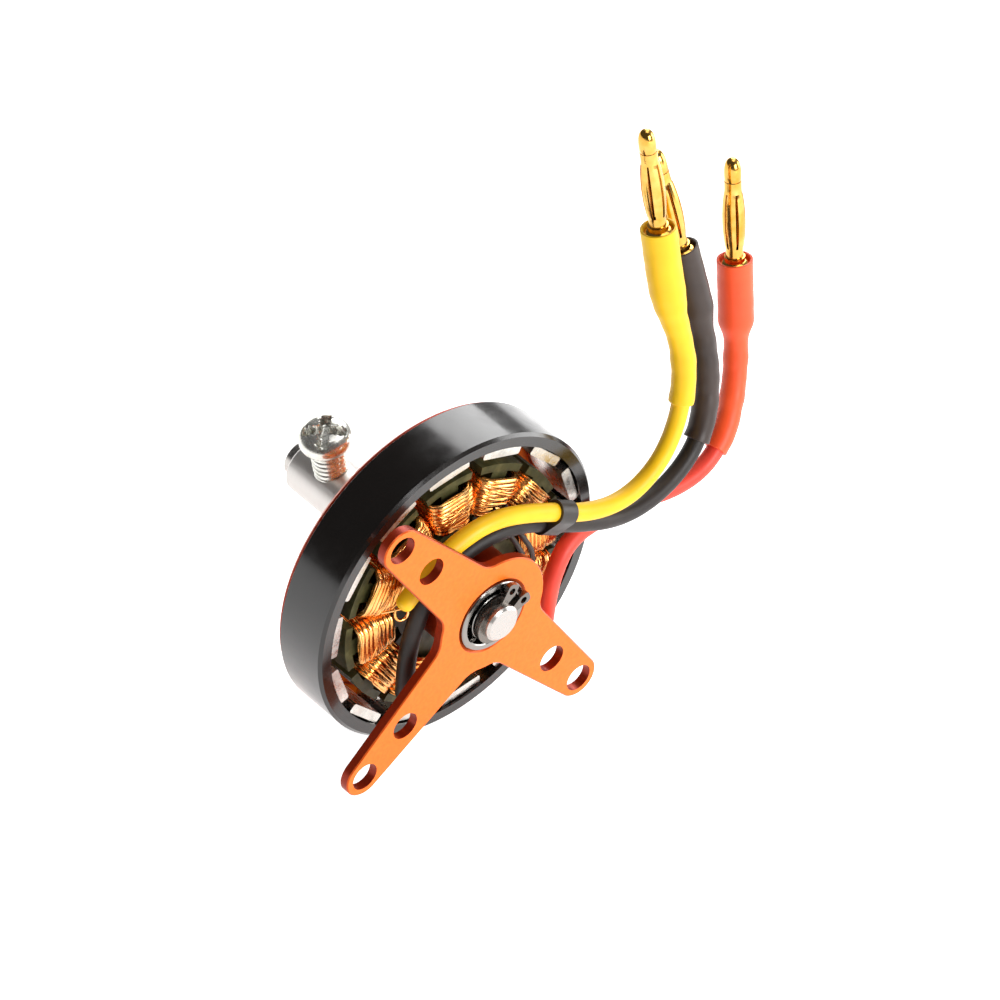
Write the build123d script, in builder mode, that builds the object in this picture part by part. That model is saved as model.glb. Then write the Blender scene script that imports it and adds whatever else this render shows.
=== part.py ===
"""Brushless outrunner motor with an X mount, a prop saver and three bullet-ended leads.

The shaft lies along Y. The mount plate's rear face is y = 0 and faces -Y; the propeller side is +Y.
"""

import os
from math import cos, pi, radians, sin, sqrt, tan

from build123d import *

os.makedirs("parts", exist_ok=True)

# ---- driving dimensions, millimetres and degrees ---------------------------------------------

# rotor
RING_R = 14.0
RING_BORE_R = 12.85
RING_REAR = 4.14
RING_FRONT = 8.93
BELL_R = 13.78
BELL_FRONT = 9.48
BELL_LIP = 0.40
BELL_LIP_R = 11.9
BELL_HUB_R = 3.4
BELL_HUB_FRONT = 12.4
BELL_BOSS_R = 2.4
BELL_BOSS = 0.23
WINDOW_INNER_R = 4.9
WINDOW_OUTER_R = 11.2
SPOKES = 7
SPOKE_WIDTH = 2.3
WINDOW_FILLET = 0.6

POLES = 14
MAGNET_WIDTH = 4.0
MAGNET_THICK = 0.82
MAGNET_CORNER = 0.2
MAGNET_REAR = 4.42
MAGNET_FRONT = 8.42

SHAFT_R = 1.585
SHAFT_REAR = -1.3
SHAFT_FRONT = 23.4
SHAFT_CHAMFER = 0.2

# stator
TEETH = 12
TOOTH_PHASE = 12.0
CORE_R = 11.0
CORE_REAR = 4.7
CORE_FRONT = 7.5
TIP_BASE_R = 10.3
TOOTH_WIDTH = 1.7
YOKE_R = 5.7
SLOT_OPENING = 1.0
COIL_BUILD = 0.72
COIL_HEAD = 0.95
COIL_INNER_R = 6.4
COIL_OUTER_R = 10.05
COIL_CORNER = 0.7

TUBE_R = 4.2
TUBE_FRONT = 8.5
TUBE_SHOULDER_R = 2.7

BEARING_R = 3.175
BEARING_WIDTH = 2.78
BEARING_PROUD = 0.1
RACE_LAND = 0.55
RACE_CHAMFER = 0.08
BALL_R = 0.5
BALLS = 7
BALL_PLAY = 0.02

# mount plate
PLATE_THICK = 0.8
PLATE_SKIN = 0.5
PLATE_HUB_R = 5.3
BORE_LEAD_IN = 0.27
ARM_ANGLES = (135.0, 225.0, 315.0)
ARM_ROOT_HALF = 3.1
ARM_TIP_R = 1.8
ARM_WEB_FILLET = 2.0
END_HOLE_R = 1.2
END_HOLE_SPACING = 22.5
INNER_HOLE_SPACING = 15.4

# shaft retention behind the plate
SHIM_R = 2.1
SHIM_THICK = 0.2
CLIP_THICK = 0.4
CLIP_R = 1.9
CLIP_OFFSET = 0.2
CLIP_OPEN_ANGLE = 45.0
CLIP_OPENING = 0.9
CLIP_LUG_TURN = 23.0
CLIP_LUG_WIDTH = 1.1
CLIP_LUG_R = 3.3
CLIP_LUG_HOLE_R = 0.3
GROOVE_R = 1.4

# prop saver
COLLAR_R = 2.35
COLLAR_REAR = 12.6
COLLAR_FRONT = 22.3
COLLAR_CHAMFER = 0.25
POST_Y = 19.0
POST_ANGLE = 108.0
POST_R = 1.43
POST_FLAT = 1.335
FLAT_LENGTH = 3.6
HEAD_UNDER = 5.35
HEAD_RIM = 6.0
HEAD_TOP = 6.75
HEAD_R = 2.15
RECESS_WIDTH = 0.55
RECESS_LENGTH = 2.3
RECESS_DEPTH = 0.75

# set screws in the bell's hub
SET_SCREW_R = 1.0
SET_SCREW_Y = 11.1
SET_SCREW_ANGLES = (60.0, 150.0)
SOCKET_R = 0.5
SOCKET_DEPTH = 0.8

# leads
LEAD_R = 0.75
SLEEVE_WALL = 0.25
SLEEVE_WIDE_R = 1.45
CUP_R = 1.2
CUP_BELOW = 2.0
CUP_ABOVE = 2.2
SLEEVE_NECK = 2.3
SLEEVE_ABOVE = 2.4
PIN_TOP = 11.5
PIN_TIP_LENGTH = 1.95
PIN_TIP_R = 0.69
PIN_CORE_R = 0.5
SPRING_BAND = 0.8
SPRING_BAND_R = 0.7
SPRING_BELLY_R = 0.93
SPRING_WALL = 0.12
SPRING_LEAVES = 6
SPRING_SLOT = 0.22
BAND_LENGTH = 1.7
BAND_WALL = 0.25
ARC_SHARE = 0.45

# Lead centrelines, from the winding to the wire's end inside the bullet's cup.
ROUTES = {
    "yellow": [
        (-7.4, 2.4, 2.9),
        (-5.4, 2.4, 5.0),
        (-3.1, 2.3, 6.9),
        (0.3, 2.0, 8.1),
        (4.6, 1.6, 7.3),
        (10.0, 1.1, 5.2),
        (14.0, 1.0, 5.0),
        (17.2, 1.2, 6.8),
        (19.1, 1.7, 9.7),
        (20.0, 2.5, 13.4),
        (19.8, 3.5, 16.8),
        (18.5, 4.4, 20.3),
        (17.7, 5.3, 24.8),
    ],
    "black": [
        (-5.4, 2.8, -7.4),
        (-5.9, 2.8, -3.7),
        (-5.5, 2.8, -0.1),
        (-4.3, 2.8, 3.1),
        (-1.6, 2.8, 5.1),
        (1.8, 2.7, 5.8),
        (4.9, 2.4, 5.6),
        (10.3, 1.9, 3.5),
        (14.8, 1.8, 2.3),
        (18.8, 2.0, 2.8),
        (22.2, 2.5, 4.6),
        (24.0, 3.2, 7.2),
        (24.6, 4.3, 11.0),
        (24.1, 5.6, 15.3),
        (23.0, 7.0, 19.8),
    ],
    "red": [
        (8.9, 2.5, -7.4),
        (8.8, 2.6, -4.4),
        (9.2, 2.8, -1.4),
        (10.9, 3.3, 0.8),
        (14.2, 3.4, 1.5),
        (17.9, 3.6, 1.5),
        (21.6, 3.1, 1.3),
        (25.0, 3.0, 2.3),
        (27.4, 3.7, 4.4),
        (28.6, 4.7, 7.6),
        (29.1, 5.8, 11.4),
        (28.8, 6.8, 16.4),
    ],
}
# The run whose middle is where each shrink sleeve starts, and the run held by the band.
SLEEVE_RUN = {"yellow": 8, "black": 10, "red": 7}
BAND_RUN = {"yellow": 4, "black": 6}


def across(y):
    """The plane square to the shaft at y, seen from behind: its x is +X and its y is +Z."""
    return Plane.XZ.offset(-y)


def spoke_plane(angle, y, distance):
    """A plane facing away from the shaft at this angle round it, its x running forward."""
    out = Vector(cos(radians(angle)), 0, sin(radians(angle)))
    return Plane(origin=Vector(0, y, 0) + out * distance, x_dir=(0, 1, 0), z_dir=out)


def save(piece, name):
    """Label a finished piece and write it to its own STEP file."""
    piece.part.label = name
    export_step(piece.part, f"parts/{name}.step")


# ---- mount plate and bearing tube --------------------------------------------------------------

with BuildPart() as mount_plate:
    with BuildSketch(across(PLATE_THICK)) as outline:
        Circle(PLATE_HUB_R)
        tip_distance = END_HOLE_SPACING / sqrt(2)
        for angle in ARM_ANGLES:
            Polygon(
                (0, -ARM_ROOT_HALF),
                (tip_distance, -ARM_TIP_R),
                (tip_distance, ARM_TIP_R),
                (0, ARM_ROOT_HALF),
                rotation=angle,
                align=None,
            )
        with PolarLocations(tip_distance, len(ARM_ANGLES), start_angle=ARM_ANGLES[0], angular_range=270):
            Circle(ARM_TIP_R)
        webs = [v for v in outline.vertices() if abs(Vector(*v).length - PLATE_HUB_R) < 0.01]
        fillet(webs, ARM_WEB_FILLET)
    extrude(amount=PLATE_THICK)
    edge_break = mount_plate.edges().group_by(Axis.Y)[0]
    chamfer(edge_break, 0.1)
    for spacing in (END_HOLE_SPACING, INNER_HOLE_SPACING):
        with BuildSketch(across(PLATE_THICK)):
            with PolarLocations(spacing / sqrt(2), len(ARM_ANGLES), start_angle=ARM_ANGLES[0], angular_range=270):
                Circle(END_HOLE_R)
        extrude(amount=PLATE_THICK, mode=Mode.SUBTRACT)
    with BuildSketch(across(PLATE_THICK)):
        Circle(BEARING_R)
    extrude(amount=PLATE_THICK, mode=Mode.SUBTRACT)
    bore_edges = mount_plate.edges().filter_by(GeomType.CIRCLE).filter_by(lambda e: abs(e.radius - BEARING_R) < 0.01)
    chamfer(bore_edges.group_by(Axis.Y)[0], BORE_LEAD_IN)
    with BuildSketch(across(PLATE_THICK)):
        Circle(TUBE_R)
    extrude(amount=PLATE_THICK - PLATE_SKIN, mode=Mode.SUBTRACT)
save(mount_plate, "mount_plate")

REAR_BEARING_Y = -BEARING_PROUD
FRONT_BEARING_Y = TUBE_FRONT - BEARING_WIDTH

with BuildPart() as bearing_tube:
    with BuildSketch(Plane.XY):
        with BuildLine():
            Polyline(
                (BEARING_R, PLATE_SKIN),
                (TUBE_R, PLATE_SKIN),
                (TUBE_R, TUBE_FRONT),
                (BEARING_R, TUBE_FRONT),
                (BEARING_R, FRONT_BEARING_Y),
                (TUBE_SHOULDER_R, FRONT_BEARING_Y),
                (TUBE_SHOULDER_R, REAR_BEARING_Y + BEARING_WIDTH),
                (BEARING_R, REAR_BEARING_Y + BEARING_WIDTH),
                close=True,
            )
        make_face()
    revolve(axis=Axis.Y)
save(bearing_tube, "bearing_tube")


# ---- ball bearings -----------------------------------------------------------------------------

PITCH_R = (BEARING_R + SHAFT_R) / 2


def race(inner_r, outer_r, rear):
    """One bearing ring with its ball groove, between two radii."""
    with BuildPart() as ring:
        with BuildSketch(across(rear + BEARING_WIDTH)):
            Circle(outer_r)
            Circle(inner_r, mode=Mode.SUBTRACT)
        extrude(amount=BEARING_WIDTH)
        chamfer(ring.edges().filter_by(GeomType.CIRCLE), RACE_CHAMFER)
        with BuildSketch(Plane.XY):
            with Locations((PITCH_R, rear + BEARING_WIDTH / 2)):
                Circle(BALL_R + BALL_PLAY)
        revolve(axis=Axis.Y, mode=Mode.SUBTRACT)
    return ring


for place, rear in (("rear", REAR_BEARING_Y), ("front", FRONT_BEARING_Y)):
    save(race(BEARING_R - RACE_LAND, BEARING_R, rear), f"{place}_bearing_outer_race")
    save(race(SHAFT_R, SHAFT_R + RACE_LAND, rear), f"{place}_bearing_inner_race")
    with BuildPart() as balls:
        for turn in range(BALLS):
            angle = radians(turn * 360 / BALLS)
            with Locations((PITCH_R * cos(angle), rear + BEARING_WIDTH / 2, PITCH_R * sin(angle))):
                Sphere(BALL_R)
    save(balls, f"{place}_bearing_balls")


# ---- stator core and windings --------------------------------------------------------------------

with BuildPart() as stator_core:
    with BuildSketch(across(CORE_FRONT)):
        Circle(CORE_R)
        Circle(TIP_BASE_R, mode=Mode.SUBTRACT)
        with PolarLocations(CORE_R, TEETH, start_angle=TOOTH_PHASE + 180 / TEETH):
            Rectangle(4 * (CORE_R - TIP_BASE_R), SLOT_OPENING, mode=Mode.SUBTRACT)
        with PolarLocations((YOKE_R + TIP_BASE_R) / 2, TEETH, start_angle=TOOTH_PHASE):
            Rectangle(TIP_BASE_R - YOKE_R + 0.4, TOOTH_WIDTH)
        Circle(YOKE_R)
        Circle(TUBE_R, mode=Mode.SUBTRACT)
    extrude(amount=CORE_FRONT - CORE_REAR)
save(stator_core, "stator_core")

for phase, first_tooth in (("a", 0), ("b", 1), ("c", 2)):
    with BuildPart() as coils:
        for tooth in range(first_tooth, TEETH, 3):
            base = spoke_plane(TOOTH_PHASE + tooth * 360 / TEETH, (CORE_REAR + CORE_FRONT) / 2, COIL_INNER_R)
            with BuildSketch(base):
                RectangleRounded(
                    CORE_FRONT - CORE_REAR + 2 * COIL_HEAD,
                    TOOTH_WIDTH + 2 * COIL_BUILD,
                    COIL_CORNER,
                )
                Rectangle(CORE_FRONT - CORE_REAR, TOOTH_WIDTH, mode=Mode.SUBTRACT)
            extrude(amount=COIL_OUTER_R - COIL_INNER_R)
    save(coils, f"coils_phase_{phase}")


# ---- rotor ---------------------------------------------------------------------------------------

with BuildPart() as flux_ring:
    with BuildSketch(Plane.XY):
        with BuildLine():
            Polyline(
                (RING_BORE_R, RING_REAR),
                (RING_R - 0.25, RING_REAR),
                (RING_R, RING_REAR + 0.25),
                (RING_R, RING_FRONT - 0.1),
                (RING_R - 0.1, RING_FRONT),
                (RING_BORE_R, RING_FRONT),
                close=True,
            )
        make_face()
    revolve(axis=Axis.Y)
save(flux_ring, "flux_ring")

with BuildPart() as magnets:
    magnet_inner = sqrt(RING_BORE_R**2 - (MAGNET_WIDTH / 2) ** 2) - MAGNET_THICK
    for pole in range(POLES):
        with BuildSketch(spoke_plane(pole * 360 / POLES, (MAGNET_REAR + MAGNET_FRONT) / 2, magnet_inner)):
            Rectangle(MAGNET_FRONT - MAGNET_REAR, MAGNET_WIDTH)
        extrude(amount=MAGNET_THICK)
    fillet(magnets.edges().filter_by(Axis.Y), MAGNET_CORNER)
save(magnets, "magnets")

with BuildPart() as end_bell:
    with BuildSketch(Plane.XY):
        with BuildLine():
            Polyline(
                (SHAFT_R, RING_FRONT - BELL_BOSS),
                (BELL_BOSS_R, RING_FRONT - BELL_BOSS),
                (BELL_BOSS_R, RING_FRONT),
                (BELL_LIP_R, RING_FRONT),
                (BELL_LIP_R, RING_FRONT - BELL_LIP),
                (RING_BORE_R, RING_FRONT - BELL_LIP),
                (RING_BORE_R, RING_FRONT),
                (BELL_R, RING_FRONT),
                (BELL_R, BELL_FRONT - 0.3),
                (BELL_R - 0.3, BELL_FRONT),
                (BELL_HUB_R + 0.3, BELL_FRONT),
                (BELL_HUB_R, BELL_FRONT + 0.3),
                (BELL_HUB_R, BELL_HUB_FRONT - 0.2),
                (BELL_HUB_R - 0.2, BELL_HUB_FRONT),
                (SHAFT_R, BELL_HUB_FRONT),
                close=True,
            )
        make_face()
    revolve(axis=Axis.Y)
    with BuildSketch(across(BELL_FRONT)) as windows:
        Circle(WINDOW_OUTER_R)
        Circle(WINDOW_INNER_R, mode=Mode.SUBTRACT)
        with PolarLocations(BELL_R / 2, SPOKES):
            Rectangle(BELL_R, SPOKE_WIDTH, mode=Mode.SUBTRACT)
        fillet(windows.vertices(), WINDOW_FILLET)
    extrude(amount=BELL_FRONT - RING_FRONT, mode=Mode.SUBTRACT)
    for angle in SET_SCREW_ANGLES:
        with BuildSketch(spoke_plane(angle, SET_SCREW_Y, 0)):
            Circle(SET_SCREW_R)
        extrude(amount=BELL_HUB_R + 1, mode=Mode.SUBTRACT)
save(end_bell, "end_bell")

with BuildPart() as bell_set_screws:
    for angle in SET_SCREW_ANGLES:
        with BuildSketch(spoke_plane(angle, SET_SCREW_Y, SHAFT_R + 0.01)):
            Circle(SET_SCREW_R)
        extrude(amount=BELL_HUB_R - SHAFT_R - 0.15)
        with BuildSketch(spoke_plane(angle, SET_SCREW_Y, BELL_HUB_R - 0.14)):
            RegularPolygon(SOCKET_R, 6)
        extrude(amount=-SOCKET_DEPTH, mode=Mode.SUBTRACT)
save(bell_set_screws, "bell_set_screws")

CLIP_REAR = REAR_BEARING_Y - SHIM_THICK - CLIP_THICK

with BuildPart() as shaft:
    with BuildSketch(Plane.XY):
        with BuildLine():
            Polyline(
                (0, SHAFT_REAR),
                (SHAFT_R - SHAFT_CHAMFER, SHAFT_REAR),
                (SHAFT_R, SHAFT_REAR + SHAFT_CHAMFER),
                (SHAFT_R, CLIP_REAR),
                (GROOVE_R, CLIP_REAR),
                (GROOVE_R, CLIP_REAR + CLIP_THICK),
                (SHAFT_R, CLIP_REAR + CLIP_THICK),
                (SHAFT_R, SHAFT_FRONT - SHAFT_CHAMFER),
                (SHAFT_R - SHAFT_CHAMFER, SHAFT_FRONT),
                (0, SHAFT_FRONT),
                close=True,
            )
        make_face()
    revolve(axis=Axis.Y)
    for side in (POST_ANGLE, POST_ANGLE + 180):
        with BuildSketch(spoke_plane(side, POST_Y, POST_FLAT)):
            Rectangle(FLAT_LENGTH, 2 * SHAFT_R)
        extrude(amount=SHAFT_R, mode=Mode.SUBTRACT)
save(shaft, "shaft")


for name, front in (("rear_shim", REAR_BEARING_Y), ("front_shim", TUBE_FRONT + SHIM_THICK)):
    with BuildPart() as shim:
        with BuildSketch(across(front)):
            Circle(SHIM_R)
            Circle(SHAFT_R, mode=Mode.SUBTRACT)
        extrude(amount=SHIM_THICK)
    save(shim, name)

with BuildPart() as circlip:
    with BuildSketch(across(CLIP_REAR + CLIP_THICK)):
        with PolarLocations(CLIP_OFFSET, 1, start_angle=CLIP_OPEN_ANGLE + 180):
            Circle(CLIP_R)
        for side in (CLIP_LUG_TURN, -CLIP_LUG_TURN):
            with PolarLocations(CLIP_LUG_R / 2 + 0.45, 1, start_angle=CLIP_OPEN_ANGLE + side):
                RectangleRounded(CLIP_LUG_R - 0.9, CLIP_LUG_WIDTH, 0.35)
        with PolarLocations(CLIP_R, 1, start_angle=CLIP_OPEN_ANGLE):
            Rectangle(2 * CLIP_R, CLIP_OPENING, mode=Mode.SUBTRACT)
        for side in (CLIP_LUG_TURN, -CLIP_LUG_TURN):
            with PolarLocations(CLIP_LUG_R - 0.65, 1, start_angle=CLIP_OPEN_ANGLE + side):
                Circle(CLIP_LUG_HOLE_R, mode=Mode.SUBTRACT)
        Circle(GROOVE_R, mode=Mode.SUBTRACT)
    extrude(amount=CLIP_THICK)
save(circlip, "circlip")


# ---- prop saver ------------------------------------------------------------------------------------

with BuildPart() as prop_saver:
    with BuildSketch(Plane.XY):
        with BuildLine():
            Polyline(
                (SHAFT_R, COLLAR_REAR),
                (COLLAR_R - COLLAR_CHAMFER, COLLAR_REAR),
                (COLLAR_R, COLLAR_REAR + COLLAR_CHAMFER),
                (COLLAR_R, COLLAR_FRONT - COLLAR_CHAMFER),
                (COLLAR_R - COLLAR_CHAMFER, COLLAR_FRONT),
                (SHAFT_R, COLLAR_FRONT),
                close=True,
            )
        make_face()
    revolve(axis=Axis.Y)
    with BuildSketch(spoke_plane(POST_ANGLE, POST_Y, 0)):
        Circle(POST_R)
    extrude(amount=2 * COLLAR_R, both=True, mode=Mode.SUBTRACT)
save(prop_saver, "prop_saver")

with BuildPart() as prop_saver_screws:
    for side in (POST_ANGLE, POST_ANGLE + 180):
        with BuildSketch(spoke_plane(side, POST_Y, POST_FLAT)):
            Circle(POST_R)
        extrude(amount=HEAD_UNDER - POST_FLAT)
        with BuildSketch(spoke_plane(side, POST_Y, HEAD_UNDER)):
            Circle(HEAD_R)
        extrude(amount=HEAD_RIM - HEAD_UNDER)
        with BuildSketch(spoke_plane(side, POST_Y, HEAD_RIM)):
            Circle(HEAD_R)
        with BuildSketch(spoke_plane(side, POST_Y, HEAD_TOP)):
            Circle(0.6 * HEAD_R)
        loft()
        with BuildSketch(spoke_plane(side, POST_Y, HEAD_TOP)):
            Rectangle(RECESS_LENGTH, RECESS_WIDTH)
            Rectangle(RECESS_WIDTH, RECESS_LENGTH)
        extrude(amount=-RECESS_DEPTH, mode=Mode.SUBTRACT)
save(prop_saver_screws, "prop_saver_screws")


# ---- leads -----------------------------------------------------------------------------------------


def arc_radii(points):
    """One radius for each corner: as large as the two runs that meet there allow."""
    radii = []
    for before, here, after in zip(points, points[1:], points[2:]):
        arriving, leaving = Vector(*here) - Vector(*before), Vector(*after) - Vector(*here)
        half_turn = radians(arriving.get_angle(leaving)) / 2
        radii.append(ARC_SHARE * min(arriving.length, leaving.length) / tan(half_turn))
    return radii


def direction(start, end):
    """The unit vector from one point to another."""
    return (Vector(*end) - Vector(*start)).normalized()


def follow(points, radii, start_r, hole_r=0.0):
    """A round tube, or a hollow one, along straight runs joined by tangent arcs."""
    with BuildPart() as tube:
        with BuildLine() as path:
            FilletPolyline(*points, radius=radii)
        with BuildSketch(Plane(origin=points[0], z_dir=direction(points[0], points[1]))):
            Circle(start_r)
            if hole_r:
                Circle(hole_r, mode=Mode.SUBTRACT)
        sweep(path=path.wires()[0])
    length = path.wires()[0].length
    share = tube.part.volume / (pi * (start_r**2 - hole_r**2) * length)
    print(f"  length {length:.2f}, volume over section times length {share:.4f}")
    return tube


def section(base, *corners):
    """A closed (radius, height) outline standing on a plane, to be revolved round its z axis."""
    with BuildSketch(Plane(origin=base.origin, x_dir=base.x_dir, z_dir=-base.y_dir)) as outline:
        with BuildLine():
            Polyline(*corners, close=True)
        make_face()
    return outline.sketch


SPRING_FOOT = SLEEVE_ABOVE + 0.35
SPRING_HEAD = PIN_TOP - PIN_TIP_LENGTH - 0.05

for colour, points in ROUTES.items():
    radii = arc_radii(points)
    print(f"lead_{colour}: radii", [round(r, 1) for r in radii])
    save(follow(points, radii, LEAD_R), f"lead_{colour}")

    wire_end = Vector(*points[-1])
    along = direction(points[-2], points[-1])
    base = Plane(origin=wire_end, z_dir=along)

    run = SLEEVE_RUN[colour]
    sleeve_start = (Vector(*points[run]) + Vector(*points[run + 1])) * 0.5
    sleeve_points = [tuple(sleeve_start), *points[run + 1:-1], tuple(wire_end - along * SLEEVE_NECK)]
    sleeve_r = LEAD_R + SLEEVE_WALL
    with BuildPart() as sleeve:
        add(follow(sleeve_points, radii[run:], sleeve_r, LEAD_R).part)
        cup_cover = section(
            base,
            (LEAD_R, -SLEEVE_NECK),
            (sleeve_r, -SLEEVE_NECK),
            (SLEEVE_WIDE_R, -CUP_BELOW + 0.1),
            (SLEEVE_WIDE_R, SLEEVE_ABOVE),
            (CUP_R, SLEEVE_ABOVE),
            (CUP_R, -CUP_BELOW),
            (LEAD_R, -CUP_BELOW),
        )
        revolve(cup_cover, axis=Axis(base.origin, base.z_dir))
    save(sleeve, f"sleeve_{colour}")

    with BuildPart() as pin:
        core = section(
            base,
            (LEAD_R, -CUP_BELOW),
            (CUP_R, -CUP_BELOW),
            (CUP_R, CUP_ABOVE),
            (0.95, SLEEVE_ABOVE),
            (0.95, SPRING_FOOT),
            (PIN_CORE_R, SPRING_FOOT),
            (PIN_CORE_R, SPRING_HEAD),
            (PIN_TIP_R, SPRING_HEAD),
            (PIN_TIP_R, PIN_TOP - 0.9),
            (0.85 * PIN_TIP_R, PIN_TOP - 0.4),
            (0.45 * PIN_TIP_R, PIN_TOP),
            (0, PIN_TOP),
            (0, 0),
            (LEAD_R, 0),
        )
        revolve(core, axis=Axis(base.origin, base.z_dir))
    save(pin, f"bullet_pin_{colour}")

    with BuildPart() as spring:
        lantern = section(
            base,
            (PIN_CORE_R, SPRING_FOOT),
            (SPRING_BAND_R, SPRING_FOOT),
            (SPRING_BAND_R, SPRING_FOOT + SPRING_BAND),
            (SPRING_BELLY_R, SPRING_FOOT + 2.2),
            (SPRING_BELLY_R, SPRING_HEAD - 2.6),
            (SPRING_BAND_R, SPRING_HEAD - SPRING_BAND),
            (SPRING_BAND_R, SPRING_HEAD),
            (PIN_CORE_R, SPRING_HEAD),
            (PIN_CORE_R, SPRING_HEAD - SPRING_BAND + 0.2),
            (SPRING_BELLY_R - SPRING_WALL, SPRING_HEAD - 2.6),
            (SPRING_BELLY_R - SPRING_WALL, SPRING_FOOT + 2.2),
            (PIN_CORE_R, SPRING_FOOT + SPRING_BAND - 0.2),
        )
        revolve(lantern, axis=Axis(base.origin, base.z_dir))
        with BuildSketch(base.offset(SPRING_FOOT + SPRING_BAND)):
            with PolarLocations(SPRING_BELLY_R / 2 + 0.3, SPRING_LEAVES):
                Rectangle(SPRING_BELLY_R, SPRING_SLOT)
        extrude(amount=SPRING_HEAD - SPRING_FOOT - 2 * SPRING_BAND, mode=Mode.SUBTRACT)
    save(spring, f"bullet_spring_{colour}")

# The band holds the yellow and black leads side by side where they leave the motor.
centres = {}
for colour, run in BAND_RUN.items():
    near, far = ROUTES[colour][run:run + 2]
    centres[colour] = (Vector(*near) + Vector(*far)) * 0.5
band_along = direction(*ROUTES["yellow"][BAND_RUN["yellow"]:BAND_RUN["yellow"] + 2])
step = centres["black"] - centres["yellow"]
step -= band_along * step.dot(band_along)
band_base = Plane(origin=centres["yellow"] - band_along * BAND_LENGTH / 2, x_dir=step, z_dir=band_along)

with BuildPart() as lead_band:
    with BuildSketch(band_base):
        with Locations((step.length / 2, 0)):
            SlotCenterToCenter(step.length, 2 * (LEAD_R + BAND_WALL))
        with Locations((0, 0), (step.length, 0)):
            Circle(LEAD_R, mode=Mode.SUBTRACT)
    extrude(amount=BAND_LENGTH)
save(lead_band, "lead_band")
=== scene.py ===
"""Looks for the outrunner motor: materials, windings, leads, sleeves, bullets and screws on the CAD frame."""

from math import cos, pi, radians, sin, tan, tau

import bpy
import numpy as np
from mathutils import Matrix, Vector


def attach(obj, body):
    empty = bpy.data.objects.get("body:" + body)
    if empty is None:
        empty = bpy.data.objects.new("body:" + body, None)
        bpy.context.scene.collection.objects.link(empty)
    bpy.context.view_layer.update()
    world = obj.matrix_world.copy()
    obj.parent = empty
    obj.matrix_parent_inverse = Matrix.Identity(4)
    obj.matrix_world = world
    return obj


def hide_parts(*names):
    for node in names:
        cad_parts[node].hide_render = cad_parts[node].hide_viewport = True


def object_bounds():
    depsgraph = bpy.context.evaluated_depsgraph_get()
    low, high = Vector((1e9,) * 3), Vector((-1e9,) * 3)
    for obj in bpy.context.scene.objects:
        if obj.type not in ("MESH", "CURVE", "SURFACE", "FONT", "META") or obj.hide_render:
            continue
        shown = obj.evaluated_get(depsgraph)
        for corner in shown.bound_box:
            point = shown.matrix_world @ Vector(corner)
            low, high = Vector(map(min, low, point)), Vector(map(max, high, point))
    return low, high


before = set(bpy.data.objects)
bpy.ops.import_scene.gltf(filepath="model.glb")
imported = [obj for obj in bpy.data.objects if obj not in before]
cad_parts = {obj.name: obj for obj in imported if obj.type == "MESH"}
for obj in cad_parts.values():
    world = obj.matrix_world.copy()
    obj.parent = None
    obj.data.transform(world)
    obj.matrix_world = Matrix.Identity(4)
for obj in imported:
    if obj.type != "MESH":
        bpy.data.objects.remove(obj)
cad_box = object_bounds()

MM = 0.001
rng = np.random.default_rng(7)


# ---- camera ------------------------------------------------------------------------------------

CAMERA_PLACE = (-0.33985, -0.30697, 0.36286)
CAMERA_RIGHT = Vector((0.740, -0.658, 0.138))
CAMERA_UP = Vector((0.327, 0.532, 0.781))
CAMERA_LENS = 271.9

camera = bpy.data.objects.new("camera", bpy.data.cameras.new("camera"))
camera.data.lens = CAMERA_LENS
camera.data.sensor_width = 36.0
camera.data.clip_start = 0.01
camera.data.clip_end = 20.0
right = CAMERA_RIGHT.normalized()
back = right.cross(CAMERA_UP).normalized()
up = back.cross(right)
turned_to = Matrix((right, up, back)).transposed().to_4x4()
camera.matrix_world = Matrix.Translation(CAMERA_PLACE) @ turned_to
bpy.context.collection.objects.link(camera)
bpy.context.scene.camera = camera


# ---- leads: routes, in millimetres, as in the CAD ------------------------------------------------

LEAD_R = 0.75
LEAD_RESOLUTION = 24
SLEEVE_ABOVE = 2.4
PIN_TOP = 11.5

ROUTES = {
    "yellow": [
        (-7.4, 2.4, 2.9),
        (-5.4, 2.4, 5.0),
        (-3.1, 2.3, 6.9),
        (0.3, 2.0, 8.1),
        (4.6, 1.6, 7.3),
        (10.0, 1.1, 5.2),
        (14.0, 1.0, 5.0),
        (17.2, 1.2, 6.8),
        (19.1, 1.7, 9.7),
        (20.0, 2.5, 13.4),
        (19.8, 3.5, 16.8),
        (18.5, 4.4, 20.3),
        (17.7, 5.3, 24.8),
    ],
    "black": [
        (-5.4, 2.8, -7.4),
        (-5.9, 2.8, -3.7),
        (-5.5, 2.8, -0.1),
        (-4.3, 2.8, 3.1),
        (-1.6, 2.8, 5.1),
        (1.8, 2.7, 5.8),
        (4.9, 2.4, 5.6),
        (10.3, 1.9, 3.5),
        (14.8, 1.8, 2.3),
        (18.8, 2.0, 2.8),
        (22.2, 2.5, 4.6),
        (24.0, 3.2, 7.2),
        (24.6, 4.3, 11.0),
        (24.1, 5.6, 15.3),
        (23.0, 7.0, 19.8),
    ],
    "red": [
        (8.9, 2.5, -7.4),
        (8.8, 2.6, -4.4),
        (9.2, 2.8, -1.4),
        (10.9, 3.3, 0.8),
        (14.2, 3.4, 1.5),
        (17.9, 3.6, 1.5),
        (21.6, 3.1, 1.3),
        (25.0, 3.0, 2.3),
        (27.4, 3.7, 4.4),
        (28.6, 4.7, 7.6),
        (29.1, 5.8, 11.4),
        (28.8, 6.8, 16.4),
    ],
}
SLEEVE_RUN = {"yellow": 8, "black": 10, "red": 7}


def link(name, data):
    """A new object in the scene."""
    piece = bpy.data.objects.new(name, data)
    bpy.context.collection.objects.link(piece)
    return piece


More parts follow.
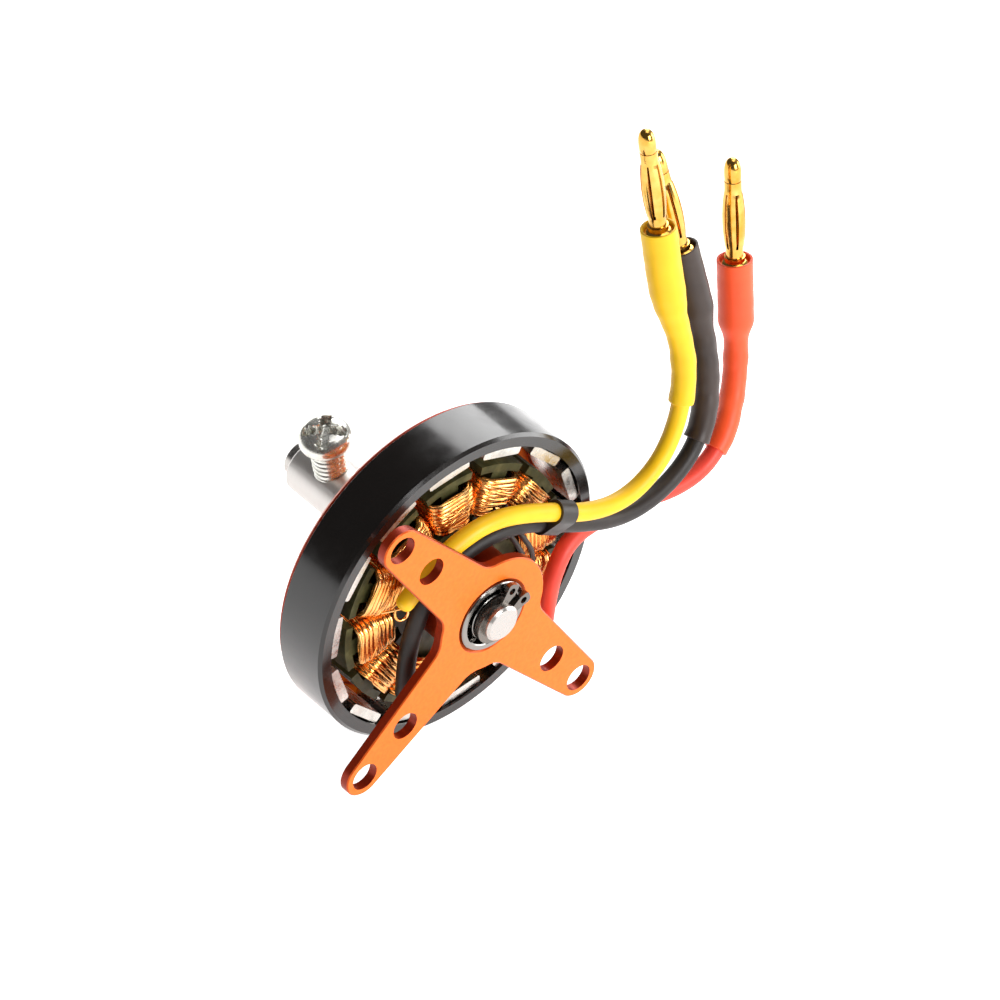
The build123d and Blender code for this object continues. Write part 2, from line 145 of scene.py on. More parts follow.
def spline_curve(name, points, radius, resolution=12, sides=8):
    """A round cord on one open NURBS spline through its control points, all in millimetres."""
    data = bpy.data.curves.new(name, "CURVE")
    data.dimensions = "3D"
    data.resolution_u = resolution
    spline = data.splines.new("NURBS")
    spline.points.add(len(points) - 1)
    for control, place in zip(spline.points, points):
        control.co = (*(Vector(place) * MM), 1.0)
        control.radius = radius * MM
    spline.order_u = 3
    spline.use_endpoint_u = True
    data.bevel_depth = 1.0
    data.bevel_resolution = sides
    data.use_fill_caps = True
    return link(name, data)


def centreline(points):
    """Points along the NURBS spline of a route, in millimetres."""
    piece = spline_curve("centreline", points, 0.0, LEAD_RESOLUTION)
    mesh = bpy.data.meshes.new_from_object(piece)
    line = [v.co / MM for v in mesh.vertices]
    bpy.data.meshes.remove(mesh)
    bpy.data.objects.remove(piece)
    return line


leads = {}
for colour, points in ROUTES.items():
    leads[colour] = spline_curve(f"{colour}_lead", points, LEAD_R, LEAD_RESOLUTION, sides=10)
    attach(leads[colour], "stator")
    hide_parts(f"lead_{colour}")


# ---- material helpers ------------------------------------------------------------------------------


class Surface:
    """A Principled material with object-space patterns."""

    def __init__(self, name, colour, rough, metallic=0.0, **sockets):
        self.material = bpy.data.materials.new(name)
        self.material.use_nodes = True
        self.tree = self.material.node_tree
        self.nodes, self.links = self.tree.nodes, self.tree.links
        self.shader = self.nodes["Principled BSDF"]
        self.shader.inputs["Base Color"].default_value = (*colour, 1.0)
        self.shader.inputs["Roughness"].default_value = rough
        self.shader.inputs["Metallic"].default_value = metallic
        for socket, value in sockets.items():
            self.shader.inputs[socket.replace("_", " ")].default_value = value
        self.place = self.nodes.new("ShaderNodeTexCoord").outputs["Object"]
        self.height = None

    def put(self, kind, **inputs):
        """A new node, each input a value or another node's output."""
        node = self.nodes.new(kind)
        for key, value in inputs.items():
            socket = node.inputs[key.replace("_", " ")]
            if isinstance(value, bpy.types.NodeSocket):
                self.links.new(value, socket)
            else:
                socket.default_value = value
        return node

    def stretched(self, scale):
        """The object's own coordinates, scaled."""
        node = self.put("ShaderNodeMapping", Vector=self.place)
        node.inputs["Scale"].default_value = scale
        return node.outputs["Vector"]

    def noise(self, scale, detail=3.0, rough=0.5, stretch=(1, 1, 1)):
        """Noise with features of about 1/scale metres."""
        node = self.put(
            "ShaderNodeTexNoise",
            Vector=self.stretched(stretch),
            Scale=scale,
            Detail=detail,
            Roughness=rough,
            Distortion=0.0,
        )
        return node.outputs["Fac"]

    def facing(self, axis):
        """How square the surface is to an axis of the object, from 0 to 1."""
        spot = self.put("ShaderNodeTexCoord")
        dot = self.put("ShaderNodeVectorMath")
        dot.operation = "DOT_PRODUCT"
        self.links.new(spot.outputs["Normal"], dot.inputs[0])
        dot.inputs[1].default_value = axis
        size = self.put("ShaderNodeMath")
        size.operation = "ABSOLUTE"
        self.links.new(dot.outputs["Value"], size.inputs[0])
        return size.outputs[0]

    def spread(self, value, low, high, start=0.3, end=0.7):
        """A value mapped to a range."""
        node = self.put("ShaderNodeMapRange", Value=value)
        node.inputs["From Min"].default_value = start
        node.inputs["From Max"].default_value = end
        node.inputs["To Min"].default_value = low
        node.inputs["To Max"].default_value = high
        return node.outputs["Result"]

    def ramp(self, value, *stops):
        """Colours along a value."""
        node = self.put("ShaderNodeValToRGB", Fac=value)
        ramp = node.color_ramp
        while len(ramp.elements) < len(stops):
            ramp.elements.new(0.5)
        for element, (position, colour) in zip(ramp.elements, stops):
            element.position = position
            element.color = (*colour, 1.0)
        return node.outputs["Color"]

    def blend(self, factor, first, second):
        """A colour between two, by a value from 0 to 1."""
        node = self.nodes.new("ShaderNodeMix")
        node.data_type = "RGBA"
        self.links.new(factor, node.inputs["Factor"])
        for index, value in ((6, first), (7, second)):
            if isinstance(value, bpy.types.NodeSocket):
                self.links.new(value, node.inputs[index])
            else:
                node.inputs[index].default_value = (*value, 1.0)
        return node.outputs[2]

    def colour(self, value):
        self.links.new(value, self.shader.inputs["Base Color"])

    def rough(self, value):
        self.links.new(value, self.shader.inputs["Roughness"])

    def bump(self, value, height, strength=1.0):
        """Raise the surface by a value, its height in millimetres."""
        node = self.put("ShaderNodeBump", Height=value, Strength=strength, Distance=height * MM)
        if self.height is not None:
            self.links.new(self.height, node.inputs["Normal"])
        self.height = node.outputs["Normal"]
        self.links.new(self.height, self.shader.inputs["Normal"])


def dress(node, surface):
    """Give a CAD node's object one material."""
    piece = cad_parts[node]
    piece.data.materials.clear()
    piece.data.materials.append(surface.material)


# ---- materials ---------------------------------------------------------------------------------------

orange = Surface("orange_anodised", (0.86, 0.155, 0.012), 0.38, 0.35, Specular_IOR_Level=0.25)
grain = orange.noise(2600.0, 4.0, 0.6)
face = orange.blend(orange.spread(grain, 0.0, 1.0), (0.86, 0.140, 0.006), (0.95, 0.180, 0.010))
# painted shade: surfaces of the orange parts that are not square to Y (side walls, hole walls, the bell's rim)
# are painted dark red in place of their shadow; faces square to Y keep the grained orange
facing = orange.facing((0, 1, 0))
orange.colour(orange.blend(orange.spread(facing, 0.0, 1.0, 0.55, 0.95), (0.30, 0.022, 0.003), face))
orange.rough(orange.spread(orange.noise(900.0, 3.0), 0.30, 0.42))
orange.bump(grain, 0.004, 0.35)

black_steel = Surface(
    "black_steel", (0.007, 0.005, 0.004), 0.18, Coat_Weight=0.25, Coat_Roughness=0.1
)
black_steel.rough(black_steel.spread(black_steel.noise(700.0, 3.0), 0.14, 0.24))
black_steel.bump(black_steel.noise(1800.0, 2.0), 0.002, 0.4)

steel = Surface("steel", (0.50, 0.475, 0.45), 0.28, 1.0)
steel.rough(steel.spread(steel.noise(1500.0, 4.0, 0.6), 0.20, 0.36))
steel.bump(steel.noise(3500.0, 3.0), 0.002, 0.3)

bearing_steel = Surface("bearing_steel", (0.26, 0.25, 0.235), 0.16, 1.0)
bearing_steel.rough(bearing_steel.spread(bearing_steel.noise(2200.0, 3.0), 0.10, 0.24))

clip_steel = Surface("clip_steel", (0.17, 0.155, 0.14), 0.22, 1.0)
clip_steel.rough(clip_steel.spread(clip_steel.noise(2600.0, 4.0), 0.16, 0.34))
clip_steel.bump(clip_steel.noise(3000.0, 2.0), 0.003, 0.3)

black_oxide = Surface("black_oxide", (0.02, 0.02, 0.02), 0.35, 0.6)
black_oxide.rough(black_oxide.spread(black_oxide.noise(2500.0), 0.28, 0.5))

silver = Surface("silver_aluminium", (0.64, 0.615, 0.59), 0.42, 0.85)
turned = silver.noise(1000.0, 3.0, 0.6, (0.4, 6.0, 0.4))
silver.rough(silver.spread(turned, 0.36, 0.50))
silver.bump(turned, 0.004, 0.3)

zinc = Surface("zinc", (0.62, 0.61, 0.56), 0.28, 0.85)
cloud = zinc.spread(zinc.noise(1400.0, 4.0), 0.0, 1.0)
zinc.colour(zinc.blend(cloud, (0.60, 0.60, 0.53), (0.84, 0.83, 0.79)))
zinc.rough(zinc.spread(zinc.noise(1800.0, 3.0), 0.16, 0.34))
zinc.bump(zinc.noise(1600.0, 3.0), 0.012, 0.35)

nickel = Surface("nickel", (0.62, 0.605, 0.57), 0.26, 1.0)
cloud = nickel.spread(nickel.noise(900.0, 3.0), 0.0, 1.0)
nickel.colour(nickel.blend(cloud, (0.55, 0.53, 0.49), (0.74, 0.72, 0.68)))
nickel.rough(nickel.spread(nickel.noise(1600.0, 4.0), 0.20, 0.38))
nickel.bump(nickel.noise(2500.0, 3.0), 0.004, 0.4)

green = Surface("green_epoxy", (0.07, 0.07, 0.024), 0.45, Specular_IOR_Level=0.25)
green.colour(
    green.ramp(
        green.noise(800.0, 4.0, 0.6),
        (0.25, (0.018, 0.017, 0.006)),
        (0.55, (0.050, 0.047, 0.014)),
        (0.8, (0.105, 0.095, 0.036)),
    )
)
green.rough(green.spread(green.noise(1500.0), 0.4, 0.6))
green.bump(green.noise(1200.0, 4.0, 0.6), 0.03, 0.5)

copper = Surface("copper", (0.90, 0.36, 0.10), 0.22, 1.0)
copper.colour(
    copper.ramp(
        copper.noise(700.0, 3.0, 0.6),
        (0.25, (0.80, 0.27, 0.05)),
        (0.5, (0.95, 0.44, 0.12)),
        (0.75, (1.0, 0.62, 0.27)),
    )
)
copper.rough(copper.spread(copper.noise(2600.0), 0.16, 0.30))


def rubber(name, base, dark, light, low, high):
    """A matt, slightly uneven skin between two colours and two roughnesses."""
    surface = Surface(name, base, low, Specular_IOR_Level=0.4, Coat_Weight=0.0, Coat_Roughness=0.25)
    surface.colour(surface.ramp(surface.noise(260.0, 3.0, 0.55), (0.3, dark), (0.7, light)))
    surface.rough(surface.spread(surface.noise(900.0, 3.0), low, high))
    surface.bump(surface.noise(500.0, 3.0), 0.03, 0.35)
    surface.bump(surface.noise(3500.0, 2.0), 0.004, 0.35)
    return surface


skins = {
    name: rubber(name, *values)
    for name, values in {
        "yellow_silicone": ((0.90, 0.52, 0.003), (0.84, 0.46, 0.002), (0.93, 0.56, 0.004), 0.42, 0.54),
        "black_silicone": ((0.014, 0.009, 0.007), (0.009, 0.006, 0.005), (0.020, 0.013, 0.010), 0.44, 0.58),
        "red_silicone": ((0.80, 0.050, 0.026), (0.72, 0.038, 0.020), (0.86, 0.066, 0.034), 0.42, 0.54),
        "yellow_shrink": ((0.91, 0.54, 0.002), (0.86, 0.49, 0.001), (0.93, 0.57, 0.003), 0.40, 0.52),
        "black_shrink": ((0.030, 0.017, 0.013), (0.022, 0.012, 0.009), (0.040, 0.024, 0.018), 0.40, 0.54),
        "red_shrink": ((0.92, 0.085, 0.016), (0.86, 0.070, 0.012), (0.95, 0.10, 0.020), 0.40, 0.52),
    }.items()
}

gold = Surface("gold", (0.74, 0.42, 0.09), 0.12, 1.0)
cloud = gold.spread(gold.noise(900.0, 3.0), 0.0, 1.0)
gold.colour(gold.blend(cloud, (0.62, 0.33, 0.05), (0.82, 0.50, 0.14)))
gold.rough(gold.spread(gold.noise(2000.0, 3.0), 0.08, 0.20))

band_black = Surface("black_band", (0.022, 0.017, 0.014), 0.45)
band_black.rough(band_black.spread(band_black.noise(900.0), 0.36, 0.55))
band_black.bump(band_black.noise(700.0, 3.0), 0.03, 0.4)

for node, surface in {
    "mount_plate": orange,
    "bearing_tube": orange,
    "end_bell": orange,
    "flux_ring": black_steel,
    "magnets": nickel,
    "stator_core": green,
    "shaft": steel,
    "rear_bearing_outer_race": bearing_steel,
    "rear_bearing_inner_race": bearing_steel,
    "rear_bearing_balls": bearing_steel,
    "front_bearing_outer_race": bearing_steel,
    "front_bearing_inner_race": bearing_steel,
    "front_bearing_balls": bearing_steel,
    "rear_shim": clip_steel,
    "front_shim": clip_steel,
    "circlip": clip_steel,
    "bell_set_screws": black_oxide,
    "prop_saver": silver,
    "lead_band": band_black,
}.items():
    dress(node, surface)
for colour, lead in leads.items():
    lead.data.materials.append(skins[f"{colour}_silicone"].material)


# ---- mesh helpers ----------------------------------------------------------------------------------


def mesh_piece(name, places, faces, surface, body, slot, nodes=()):
    """A mesh, its points in millimetres, with its material, its body and the nodes it stands for; the slot
    argument is not used.
    """
    mesh = bpy.data.meshes.new(name)
    mesh.from_pydata([tuple(Vector(p) * MM) for p in places], [], faces)
    mesh.materials.append(surface.material)
    mesh.shade_smooth()
    mesh.validate()
    piece = link(name, mesh)
    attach(piece, body)
    if nodes:
        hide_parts(*nodes)
    return piece


def crease(piece, angle):
    """Sharp edges where faces meet at more than an angle."""
    piece.data.set_sharp_from_angle(angle=radians(angle))


def basis(axis):
    """Two directions square to an axis and to each other."""
    axis = Vector(axis).normalized()
    side = axis.orthogonal().normalized()
    return side, axis.cross(side)


def ring(middle, pair, radius, turns, start=0.0):
    """Points round a circle that lies in a pair of directions."""
    side, other = pair
    angles = (tau * step / turns + start for step in range(turns))
    return [middle + (side * cos(angle) + other * sin(angle)) * radius for angle in angles]


def skin(rows, turns):
    """The faces of a closed skin through rows of points, with a cap at each end."""
    faces = []
    for row in range(rows - 1):
        for step in range(turns):
            a = row * turns + step
            b = row * turns + (step + 1) % turns
            faces.append((a, b, b + turns, a + turns))
    faces.append(tuple(range(turns))[::-1])
    faces.append(tuple(range((rows - 1) * turns, rows * turns)))
    return faces


def lathe(profile, origin, axis, turns=48):
    """Points and faces of a (radius, height) profile turned round an axis."""
    pair = basis(axis)
    places = []
    for r, h in profile:
        places += ring(origin + axis * h, pair, r, turns)
    return places, skin(len(profile), turns)


def frames(line):
    """The two directions square to a line at each of its points, turning as little as possible."""
    side = (line[1] - line[0]).orthogonal().normalized()
    result = []
    for index in range(len(line)):
        ahead = (line[min(index + 1, len(line) - 1)] - line[max(index - 1, 0)]).normalized()
        side = (side - ahead * side.dot(ahead)).normalized()
        result.append((side, ahead.cross(side)))
    return result


def tube(stations, turns=40):
    """Points and faces of a closed skin through rings given as (place, (side, other), radius)."""
    places = []
    for place, pair, radius in stations:
        places += ring(place, pair, radius, turns)
    return places, skin(len(stations), turns)


# ---- copper windings ---------------------------------------------------------------------------------

TEETH = 12
TOOTH_PHASE = 12.0
CORE_MID_Y = 6.1
CORE_HALF = 1.4
COIL_INNER_R = 6.4
COIL_OUTER_R = 10.05
COIL_HALF_WIDTH = 2.2
COIL_HALF_HEIGHT = 2.33
LOOP_CORNER = 0.6
STRAND_R = 0.095
FILL_R = 0.30
FILL_TURNS = 8
FILL_PITCH = 0.42
BUNDLES = 9
STRANDS = 6
STRAND_PITCH = 0.10
LOOP_STEPS = 32


def loop_point(share, half_width, half_height, corner):
    """A point on a rounded rectangle and the heading out of it, at a share of the way round."""
    flat_w, flat_h = 2 * (half_width - corner), 2 * (half_height - corner)
    arc = pi / 2 * corner
    run = share % 1.0 * (2 * flat_w + 2 * flat_h + 4 * arc)
    for turn in range(4):
        heading = turn * pi / 2
        reach, flat = ((half_width, flat_h), (half_height, flat_w))[turn % 2]
        if run <= flat:
            x, y, bend = reach, -flat / 2 + run, 0.0
        elif run <= flat + arc:
            bend = (run - flat) / corner
            x = reach - corner + corner * cos(bend)
            y = flat / 2 + corner * sin(bend)
        else:
            run -= flat + arc
            continue
        turned_x = x * cos(heading) - y * sin(heading)
        turned_y = x * sin(heading) + y * cos(heading)
        return turned_x, turned_y, heading + bend
    return half_width, -flat_h / 2, 0.0


def wind(name, teeth, node):
    """The strands of one phase: bundles of fine wire side by side round each tooth, crossing a little."""
    data = bpy.data.curves.new(name, "CURVE")
    data.dimensions = "3D"
    data.bevel_depth = STRAND_R * MM
    data.bevel_resolution = 1
    slot = tan(pi / TEETH)
    for tooth in teeth:
        angle = radians(TOOTH_PHASE + tooth * 360 / TEETH)
        out = Vector((cos(angle), 0, sin(angle)))
        across = Vector((-sin(angle), 0, cos(angle)))

        def lay(reach_at, lift_at, thickness=1.0):
            """One closed turn of wire round the tooth, kept inside the winding's block."""
            spline = data.splines.new("POLY")
            spline.points.add(LOOP_STEPS - 1)
            spline.use_cyclic_u = True
            for step, control in enumerate(spline.points):
                share = step / LOOP_STEPS
                limit = (STRAND_R * thickness) + 0.01
                r = min(max(reach_at(share), COIL_INNER_R + limit), COIL_OUTER_R - limit)
                widest = min(r * slot - 0.04, COIL_HALF_WIDTH)
                x, y, heading = loop_point(share, widest - 0.42, CORE_HALF + 0.25, LOOP_CORNER)
                lift = lift_at(share, abs(sin(heading)))
                w = max(min(x + lift * cos(heading), widest - limit), limit - widest)
                h = max(min(y + lift * sin(heading), COIL_HALF_HEIGHT - limit), limit - COIL_HALF_HEIGHT)
                place = out * r + across * w + Vector((0, CORE_MID_Y + h, 0))
                control.co = (*(place * MM), 1.0)
                control.radius = thickness

        for turn in range(FILL_TURNS):
            reach = COIL_INNER_R + 0.35 + turn * FILL_PITCH
            lay(lambda share, reach=reach: reach, lambda share, end: 0.10 + 0.22 * end, FILL_R / STRAND_R)
        for bundle in range(BUNDLES):
            middle = COIL_INNER_R + 0.25 + (bundle + 0.5) / BUNDLES * (COIL_OUTER_R - COIL_INNER_R - 0.5)
            lean = rng.normal(0, 0.45)
            sway = rng.normal(0, 0.22)
            start = rng.uniform(0, tau)
            high = rng.uniform(0.20, 0.34)
            for strand in range(STRANDS):
                own = middle + (strand - (STRANDS - 1) / 2) * STRAND_PITCH + rng.normal(0, 0.05)
                loose = rng.normal(0, 0.20)
                phase = rng.uniform(0, tau)
                up = high + rng.uniform(-0.12, 0.08)

                def reach_at(share, own=own, loose=loose, phase=phase, lean=lean, sway=sway, start=start):
                    turn = tau * share
                    return own + lean * sin(turn) + sway * sin(2 * turn + start) + loose * sin(turn + phase)

                def lift_at(share, end, up=up, phase=phase):
                    return up * (1 + 0.45 * end) + 0.05 * sin(3 * tau * share + phase) * (0.4 + end)

                lay(reach_at, lift_at)
    data.materials.append(copper.material)
    piece = link(name, data)
    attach(piece, "stator")
    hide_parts(node)
    return piece


for phase, first in (("a", 0), ("b", 1), ("c", 2)):
    wind(f"winding_{phase}", range(first, TEETH, 3), f"coils_phase_{phase}")


# the end of one winding, looped back on itself beside the yellow lead
tail = spline_curve(
    "winding_tail",
    [
        (-8.6, 3.6, 1.5),
        (-8.1, 3.0, 1.9),
        (-7.5, 2.5, 2.3),
        (-6.9, 2.4, 1.9),
        (-7.0, 2.4, 1.2),
        (-7.6, 2.5, 1.0),
        (-8.1, 2.7, 1.5),
        (-7.9, 2.9, 2.1),
    ],
    0.11,
)
tail.data.materials.append(copper.material)
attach(tail, "stator")

# two sleeved winding ends that pass beside the tube
for name, points in {
    "sleeved_end_upper": [(3.4, 3.9, 6.9), (4.0, 3.3, 5.2), (5.3, 2.8, 3.4), (6.8, 3.0, 1.2), (7.6, 3.6, -1.2)],
    "sleeved_end_lower": [(2.2, 3.9, 7.0), (3.2, 3.4, 5.0), (4.6, 3.0, 3.2), (6.0, 3.1, 0.9), (6.8, 3.6, -1.6)],
}.items():
    strand = spline_curve(name, points, 0.22)
    strand.data.materials.append(skins["black_shrink"].material)
    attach(strand, "stator")


# ---- sleeves and bullets -----------------------------------------------------------------------------

SLEEVE_WIDE_R = 1.45
SLEEVE_WIDE_RUN = 5.4
SLEEVE_EDGE = 0.06
SLEEVE_STEP = 0.15
SLEEVE_TAPER = {"yellow": 5.0, "black": 2.6, "red": 1.8}
SLEEVE_NARROW_R = {"yellow": 1.0, "black": 1.06, "red": 1.0}
SEED = {"yellow": 0.4, "black": 2.1, "red": 4.0}

PIN_HEAD = PIN_TOP - 2.0
SPRING_FOOT = SLEEVE_ABOVE + 0.35
SPRING_R = 0.70
SPRING_BELLY = 0.23
SPRING_WALL = 0.11
SPRING_TURNS = 96
LEAVES = 6
LEAF_GAP = 0.27
LEAF_LOW, LEAF_HIGH = 0.12, 0.85
BELLY_LOW, BELLY_HIGH = 0.11, 0.86


def smoothstep(x, low, high):
    """0 up to low, 1 from high on, smooth between."""
    t = min(max((x - low) / (high - low), 0.0), 1.0)
    return t * t * (3 - 2 * t)


def sleeve_line(colour, wire_end, along):
    """The line of a sleeve, from its start on the lead to its mouth past the wire's end."""
    run = SLEEVE_RUN[colour]
    start = (Vector(ROUTES[colour][run]) + Vector(ROUTES[colour][run + 1])) * 0.5
    whole = centreline(ROUTES[colour])
    first = min(range(len(whole)), key=lambda i: (whole[i] - start).length)
    line = [whole[first]]
    for place in whole[first:]:
        if (place - line[-1]).length > SLEEVE_STEP and (wire_end - place).dot(along) > 0.1:
            line.append(place)
    return line + [wire_end + along * (SLEEVE_ABOVE * step / 10) for step in range(11)]


def shrink_sleeve(colour, wire_end, along):
    """Heat-shrink: close round the lead, wide over the bullet's cup, slightly uneven, with an open mouth."""
    line = sleeve_line(colour, wire_end, along)
    sides = frames(line)
    seed, narrow = SEED[colour], SLEEVE_NARROW_R[colour]
    total = sum((b - a).length for a, b in zip(line, line[1:]))
    stations = [(line[0], sides[0], LEAD_R * 0.99)]
    run = 0.0
    for index, (place, pair) in enumerate(zip(line, sides)):
        run += (place - line[index - 1]).length if index else 0.0
        wide = smoothstep(run - total, -SLEEVE_WIDE_RUN - SLEEVE_TAPER[colour], -SLEEVE_WIDE_RUN)
        radius = narrow + (SLEEVE_WIDE_R - narrow) * wide + 0.02 * sin(run * 2.1 + seed) * (1 - wide)
        radius += 0.015 * sin(run * 3.7 + seed)
        if index == 0:
            stations.append((place, pair, radius - SLEEVE_EDGE))
            place = place + (line[1] - line[0]).normalized() * SLEEVE_EDGE
        stations.append((place, pair, min(radius, SLEEVE_WIDE_R)))
    mouth, pair = line[-1], sides[-1]
    stations += [
        (mouth + along * 0.03, pair, SLEEVE_WIDE_R - 0.07),
        (mouth + along * 0.03, pair, 1.28),
        (mouth - along * 0.05, pair, 1.22),
        (mouth - along * 1.2, pair, 1.19),
    ]
    surface, slot = skins[f"{colour}_shrink"], f"{colour}_shrink"
    sleeve = mesh_piece(f"{colour}_sleeve", *tube(stations), surface, "stator", slot, [f"sleeve_{colour}"])
    crease(sleeve, 40)
    return sleeve


def bullet_pin(colour, wire_end, along):
    """The bullet's core: a cup inside the sleeve, a collar, a thin stem and a rounded head."""
    profile = [(1.15, 0.3), (1.18, 0.4), (1.18, 2.1), (1.0, 2.25), (0.82, 2.32), (0.80, 2.62)]
    profile += [(0.84, 2.68), (0.84, 2.72), (0.50, 2.78), (0.50, PIN_HEAD - 0.05)]
    head = [(0.62, -0.02), (0.66, 0.02), (0.69, 0.08), (0.70, 0.55), (0.69, 0.95), (0.655, 1.25)]
    head += [(0.59, 1.52), (0.49, 1.74), (0.36, 1.88), (0.20, 1.96), (0.06, 1.99)]
    profile += [(r, PIN_HEAD + h) for r, h in head]
    places, faces = lathe(profile, wire_end, along)
    pin = mesh_piece(f"{colour}_bullet", places, faces, gold, "stator", "gold", [f"bullet_pin_{colour}"])
    crease(pin, 30)
    return pin


def spring_share(height):
    """How far up the spring a height is, from 0 to 1."""
    return (height - SPRING_FOOT) / (PIN_HEAD - SPRING_FOOT)


def spring_radius(height):
    """The spring's outer radius: plain at both ends, bellied between."""
    t = spring_share(height)
    if t < BELLY_LOW or t > BELLY_HIGH:
        return SPRING_R
    return SPRING_R + SPRING_BELLY * sin(pi * (t - BELLY_LOW) / (BELLY_HIGH - BELLY_LOW)) ** 0.7


def bullet_spring(colour, wire_end, along):
    """The bullet's slotted spring: a thin tube whose middle is cut into leaves."""
    rows, turns = 41, SPRING_TURNS
    pair = basis(along)
    heights = [SPRING_FOOT + (PIN_HEAD - SPRING_FOOT) * row / (rows - 1) for row in range(rows)]
    places = []
    for layer in (0.0, SPRING_WALL):
        for h in heights:
            places += ring(wire_end + along * h, pair, spring_radius(h) - layer, turns, SEED[colour])
    inside = rows * turns

    solid = {}
    for row in range(rows - 1):
        t = spring_share((heights[row] + heights[row + 1]) / 2)
        gap = LEAF_GAP if LEAF_LOW < t < LEAF_HIGH else 0.0
        for step in range(turns):
            across = ((step + 0.5) / turns * LEAVES) % 1.0
            solid[row, step] = abs(across - 0.5) >= gap / 2

    faces = []
    for (row, step), filled in solid.items():
        if not filled:
            continue
        a, b = row * turns + step, row * turns + (step + 1) % turns
        c, d = b + turns, a + turns
        faces.append((a, b, c, d))
        faces.append((a + inside, d + inside, c + inside, b + inside))
        for key, (p, q) in (
            ((row, (step - 1) % turns), (d, a)),
            ((row, (step + 1) % turns), (b, c)),
            ((row - 1, step), (a, b)),
            ((row + 1, step), (c, d)),
        ):
            if not solid.get(key, False):
                faces.append((q, p, p + inside, q + inside))
    spring = mesh_piece(f"{colour}_spring", places, faces, gold, "stator", "gold", [f"bullet_spring_{colour}"])
    crease(spring, 40)
    return spring


riders = {}
for colour, points in ROUTES.items():
    wire_end = Vector(points[-1])
    along = (wire_end - Vector(points[-2])).normalized()
    riders[colour] = [make(colour, wire_end, along) for make in (shrink_sleeve, bullet_pin, bullet_spring)]

first, second = (Vector(p) for p in ROUTES["yellow"][:2])
places, faces = lathe(
    [(0.74, 0.0), (0.74, 0.15), (0.69, 0.34), (0.58, 0.50), (0.40, 0.62), (0.20, 0.68), (0.03, 0.70)],
    first,
    (first - second).normalized(),
)
yellow_tip = mesh_piece("yellow_tip", places, faces, skins["yellow_silicone"], "stator", "yellow_silicone")
crease(yellow_tip, 60)
riders["yellow"].append(yellow_tip)


# ---- prop saver screws -------------------------------------------------------------------------------

POST_Y = 19.0
POST_ANGLE = 108.0
POST_R = 1.43
POST_FOOT = 1.36
THREAD_PITCH = 0.5
THREAD_DEPTH = 0.17
THREAD_ROWS = 72
SCREW_TURNS = 48
HEAD_UNDER = 5.35
HEAD_HEIGHT = 1.4
HEAD_R = 2.15
HEAD_ROW = 0.08
RECESS_FROM = 0.6
RECESS_DEPTH = 0.8


def recess(x, y, r):
    """How deep the cross recess is at a place on the head, from 0 to 1."""
    near, reach = sorted((abs(x), abs(y)))
    cut = smoothstep(-near, -0.42, -0.28) * smoothstep(-reach, -1.80, -1.55)
    bowl = smoothstep(-r, -0.75, -0.45)
    return max(cut, bowl)


def screw(out):
    """One pan-head screw with a rolled thread and a cross recess, its points in millimetres."""
    origin = Vector((0, POST_Y, 0))
    side, other = basis(out)
    turns = SCREW_TURNS
    places = []
    end = HEAD_UNDER - 0.15
    for row in range(THREAD_ROWS + 1):
        h = POST_FOOT + (end - POST_FOOT) * row / THREAD_ROWS
        for step in range(turns):
            angle = tau * step / turns
            wave = (h / THREAD_PITCH - step / turns) % 1.0
            r = POST_R - THREAD_DEPTH * (0.5 + 0.5 * cos(tau * wave)) ** 0.8
            places.append(origin + out * h + (side * cos(angle) + other * sin(angle)) * r)

    profile = [(1.40, -0.09), (1.42, -0.01), (1.95, 0.01), (2.08, 0.07), (HEAD_R, 0.22), (HEAD_R, 0.48)]
    profile += [(2.12, 0.66), (2.03, 0.84), (1.86, 1.02), (1.62, 1.18), (1.32, 1.30), (0.98, 1.36)]
    profile += [(0.60, 1.39), (0.25, HEAD_HEIGHT)]
    fine = []
    for (r0, h0), (r1, h1) in zip(profile, profile[1:]):
        parts = max(1, int(round(abs(r1 - r0) / HEAD_ROW)))
        for part in range(parts):
            t = part / parts
            fine.append((r0 + (r1 - r0) * t, HEAD_UNDER + h0 + (h1 - h0) * t))
    fine += [(r, HEAD_UNDER + HEAD_HEIGHT) for r in (0.25, 0.12, 0.02)]
    for r, h in fine:
        for step in range(turns):
            angle = tau * step / turns
            sink = 0.0
            if h > HEAD_UNDER + RECESS_FROM:
                sink = RECESS_DEPTH * recess(r * cos(angle), r * sin(angle), r)
            places.append(origin + out * (h - sink) + (side * cos(angle) + other * sin(angle)) * r)
    return places, skin(len(places) // turns, turns)


places, faces = [], []
for angle in (POST_ANGLE, POST_ANGLE + 180):
    screw_places, screw_faces = screw(Vector((cos(radians(angle)), 0, sin(radians(angle)))))
    faces += [tuple(i + len(places) for i in face) for face in screw_faces]
    places += screw_places
saver_screws = mesh_piece("saver_screws", places, faces, zinc, "rotor", "zinc", ["prop_saver_screws"])
crease(saver_screws, 50)


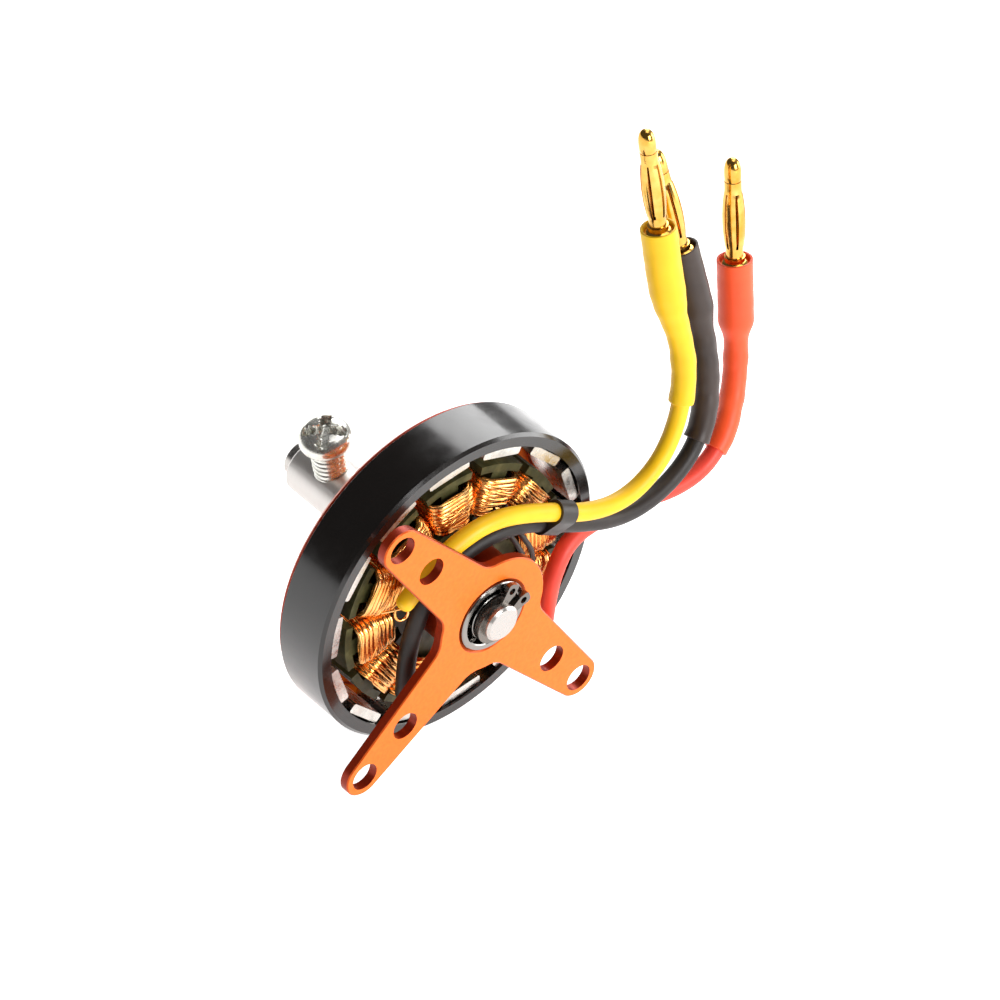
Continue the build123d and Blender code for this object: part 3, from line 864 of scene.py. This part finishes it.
# ---- floor, light and world ----------------------------------------------------------------------------

FLOOR_HALF = 3.0
FLOOR_GAP = 0.0002

floor_mesh = bpy.data.meshes.new("floor")
low = cad_box[0][2] - FLOOR_GAP
corners = [(x * FLOOR_HALF, y * FLOOR_HALF, low) for x, y in ((-1, -1), (1, -1), (1, 1), (-1, 1))]
floor_mesh.from_pydata(corners, [], [(0, 1, 2, 3)])
floor = link("floor", floor_mesh)
paper = Surface("paper", (0.90, 0.90, 0.90), 0.9)
paper.shader.inputs["Emission Color"].default_value = (1, 1, 1, 1)
paper.shader.inputs["Emission Strength"].default_value = 0.84
floor_mesh.materials.append(paper.material)


LIGHT_TARGET = (0.004, 0.006, 0.004)


def softbox(name, place, size, power):
    """A square area light that faces the motor."""
    light = bpy.data.lights.new(name, "AREA")
    light.shape = "RECTANGLE"
    light.size = light.size_y = size
    light.energy = power
    lamp = link(name, light)
    lamp.location = place
    lamp.rotation_euler = (Vector(LIGHT_TARGET) - Vector(place)).to_track_quat("-Z", "Y").to_euler()


softbox("top", (0.14, 0.06, 0.60), 0.35, 0.9)
softbox("sheen", (0.38, 0.34, 0.33), 0.34, 1.9)
softbox("key", (0.08, -0.70, 0.28), 0.35, 5.2)
softbox("right", (0.60, -0.25, 0.15), 0.35, 2.2)

world = bpy.data.worlds.new("studio")
bpy.context.scene.world = world
world.use_nodes = True
tree = world.node_tree
sky = tree.nodes["Background"]
sky.inputs["Strength"].default_value = 1.0
heading = tree.nodes.new("ShaderNodeTexCoord")
parts = tree.nodes.new("ShaderNodeSeparateXYZ")
shade = tree.nodes.new("ShaderNodeValToRGB")
for element, position, grey in zip(shade.color_ramp.elements, (0.0, 0.8), (0.10, 0.42)):
    element.position = position
    element.color = (grey, grey, grey, 1.0)
tree.links.new(heading.outputs["Generated"], parts.inputs[0])
tree.links.new(parts.outputs["X"], shade.inputs["Fac"])
tree.links.new(shade.outputs["Color"], sky.inputs["Color"])

bpy.context.scene.view_settings.view_transform = "Standard"

bpy.context.view_layer.update()
